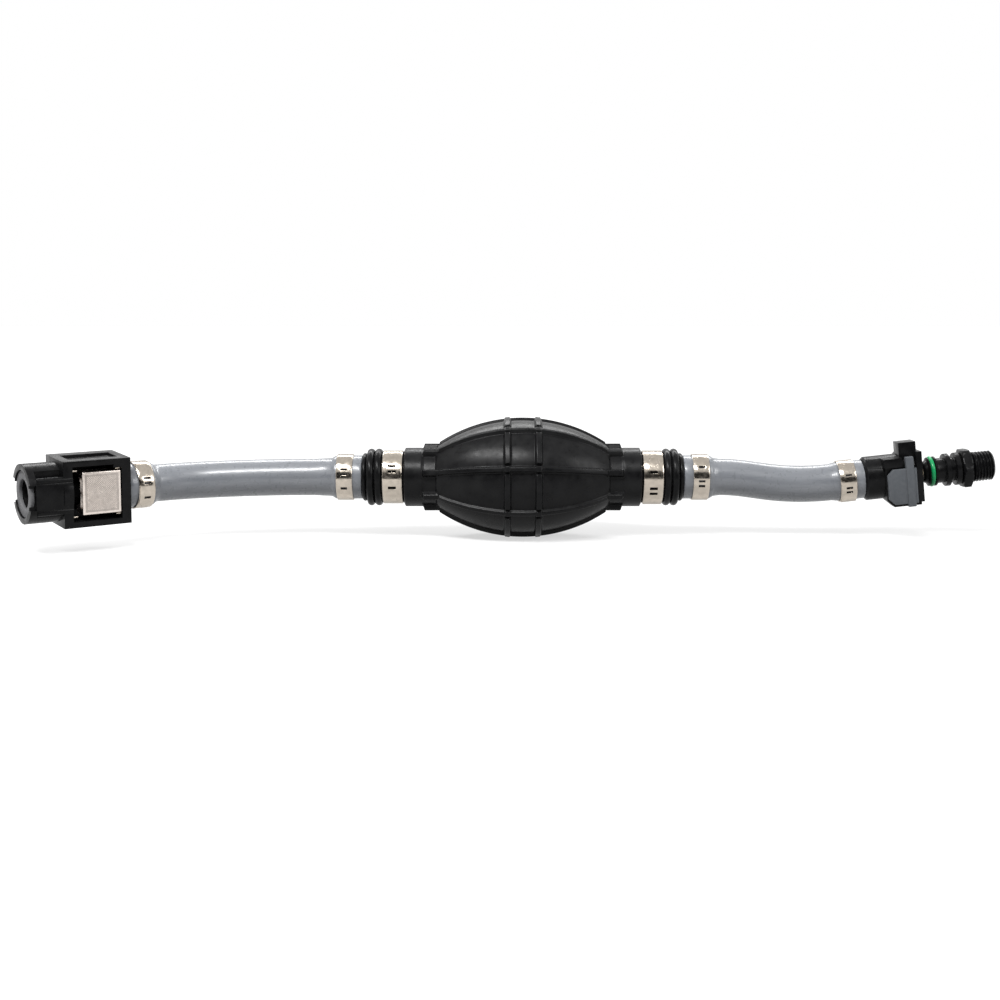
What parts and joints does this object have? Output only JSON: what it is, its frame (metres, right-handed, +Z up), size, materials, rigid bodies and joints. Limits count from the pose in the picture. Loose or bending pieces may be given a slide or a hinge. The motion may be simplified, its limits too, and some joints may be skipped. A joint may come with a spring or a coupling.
{
  "type": "fuel primer bulb line",
  "caption": "Hand-squeezed rubber primer bulb with check valves, band-clamped hoses, a box socket connector, a latched coupling and its threaded plug.",
  "frame": {"origin": "on the surface it lies on, under the middle of the whole part", "axes": "+X along the bulb from the box connector to the coupling, +Y away from the side that shows the button and the latch, +Z up"},
  "size_m": [0.4359, 0.0867, 0.0551],
  "materials": {
    "rubber": "moulded black rubber, satin",
    "black_nylon": "moulded black nylon, satin",
    "black_plastic": "moulded black nylon, half gloss",
    "hose": "extruded grey vinyl, half gloss",
    "band_steel": "rolled stainless band",
    "button_steel": "pressed stainless sheet with a fine dimpled face",
    "spring_steel": "drawn spring wire",
    "brass": "turned brass",
    "grey_seal": "moulded grey seal",
    "grey_latch": "moulded grey acetal",
    "green_seal": "moulded green fluoro rubber"
  },
  "bodies": {
    "line": {"bulb": "rubber", "neck_clamp_inlet": "band_steel", "neck_clamp_outlet": "band_steel", "clamp_inlet_bulb": "band_steel", "clamp_inlet_end": "band_steel", "clamp_outlet_bulb": "band_steel", "clamp_outlet_end": "band_steel", "inlet_valve_body": "black_nylon", "outlet_valve_body": "black_nylon", "inlet_retainer": "black_nylon", "outlet_seat": "brass", "inlet_spring": "spring_steel", "outlet_spring": "spring_steel", "inlet_hose": "hose", "outlet_hose": "hose", "connector_housing": "black_plastic", "connector_barb": "brass", "face_seal": "grey_seal", "socket_spring": "spring_steel", "release_springs": "spring_steel", "button_pins": "band_steel", "coupling_body": "black_plastic", "latch_spring": "spring_steel", "coupling_spring": "spring_steel", "coupling_spring_seat": "brass"},
    "inlet_valve": {"inlet_poppet": "brass"},
    "outlet_valve": {"outlet_poppet": "brass"},
    "socket_valve": {"socket_poppet": "brass"},
    "button": {"release_button": "button_steel"},
    "latch": {"thumb_latch": "grey_latch"},
    "coupling_valve": {"coupling_poppet": "brass", "coupling_poppet_seal": "rubber"},
    "plug": {"plug_body": "black_plastic", "plug_nose": "black_plastic", "plug_o_ring": "green_seal", "plug_spring": "spring_steel", "plug_retainer": "brass"},
    "plug_valve": {"plug_poppet": "brass"}
  },
  "joints": [
    {"name": "inlet_valve_lift", "type": "slide", "parent": "line", "child": "inlet_valve", "axis": [1, 0, 0], "range_m": [0, 0.002], "stiffness_N_per_m": 60, "springref_m": -0.001, "deforming": ["inlet_spring"]},
    {"name": "outlet_valve_lift", "type": "slide", "parent": "line", "child": "outlet_valve", "axis": [1, 0, 0], "range_m": [0, 0.002], "stiffness_N_per_m": 60, "springref_m": -0.001, "deforming": ["outlet_spring"]},
    {"name": "button_press", "type": "slide", "parent": "line", "child": "button", "axis": [-0.579, 0.813, 0.0616], "range_m": [0, 0.002], "stiffness_N_per_m": 800, "springref_m": -0.002, "deforming": ["release_springs"]},
    {"name": "socket_valve_push", "type": "slide", "parent": "line", "child": "socket_valve", "axis": [0.8148, 0.5797, 0.0076], "range_m": [0, 0.0015], "stiffness_N_per_m": 100, "springref_m": -0.001, "deforming": ["socket_spring"]},
    {"name": "latch_spring_out", "type": "slide", "parent": "line", "child": "latch", "axis": [-0.0264, -0.9997, 0.0004], "range_m": [0, 0.0013], "stiffness_N_per_m": 400, "springref_m": 0.0033, "deforming": ["latch_spring"]},
    {"name": "coupling_valve_push", "type": "slide", "parent": "line", "child": "coupling_valve", "axis": [-0.9934, 0.0262, -0.1118], "range_m": [0, 0.0015], "stiffness_N_per_m": 100, "springref_m": -0.001, "deforming": ["coupling_spring"]},
    {"name": "plug_in", "type": "slide", "parent": "line", "child": "plug", "axis": [-0.9934, 0.0262, -0.1118], "range_m": [0, 0.01645]},
    {"name": "plug_valve_push", "type": "slide", "parent": "plug", "child": "plug_valve", "axis": [0.9934, -0.0262, 0.1118], "range_m": [0, 0.0015], "stiffness_N_per_m": 100, "springref_m": -0.001, "deforming": ["plug_spring"]}
  ]
}
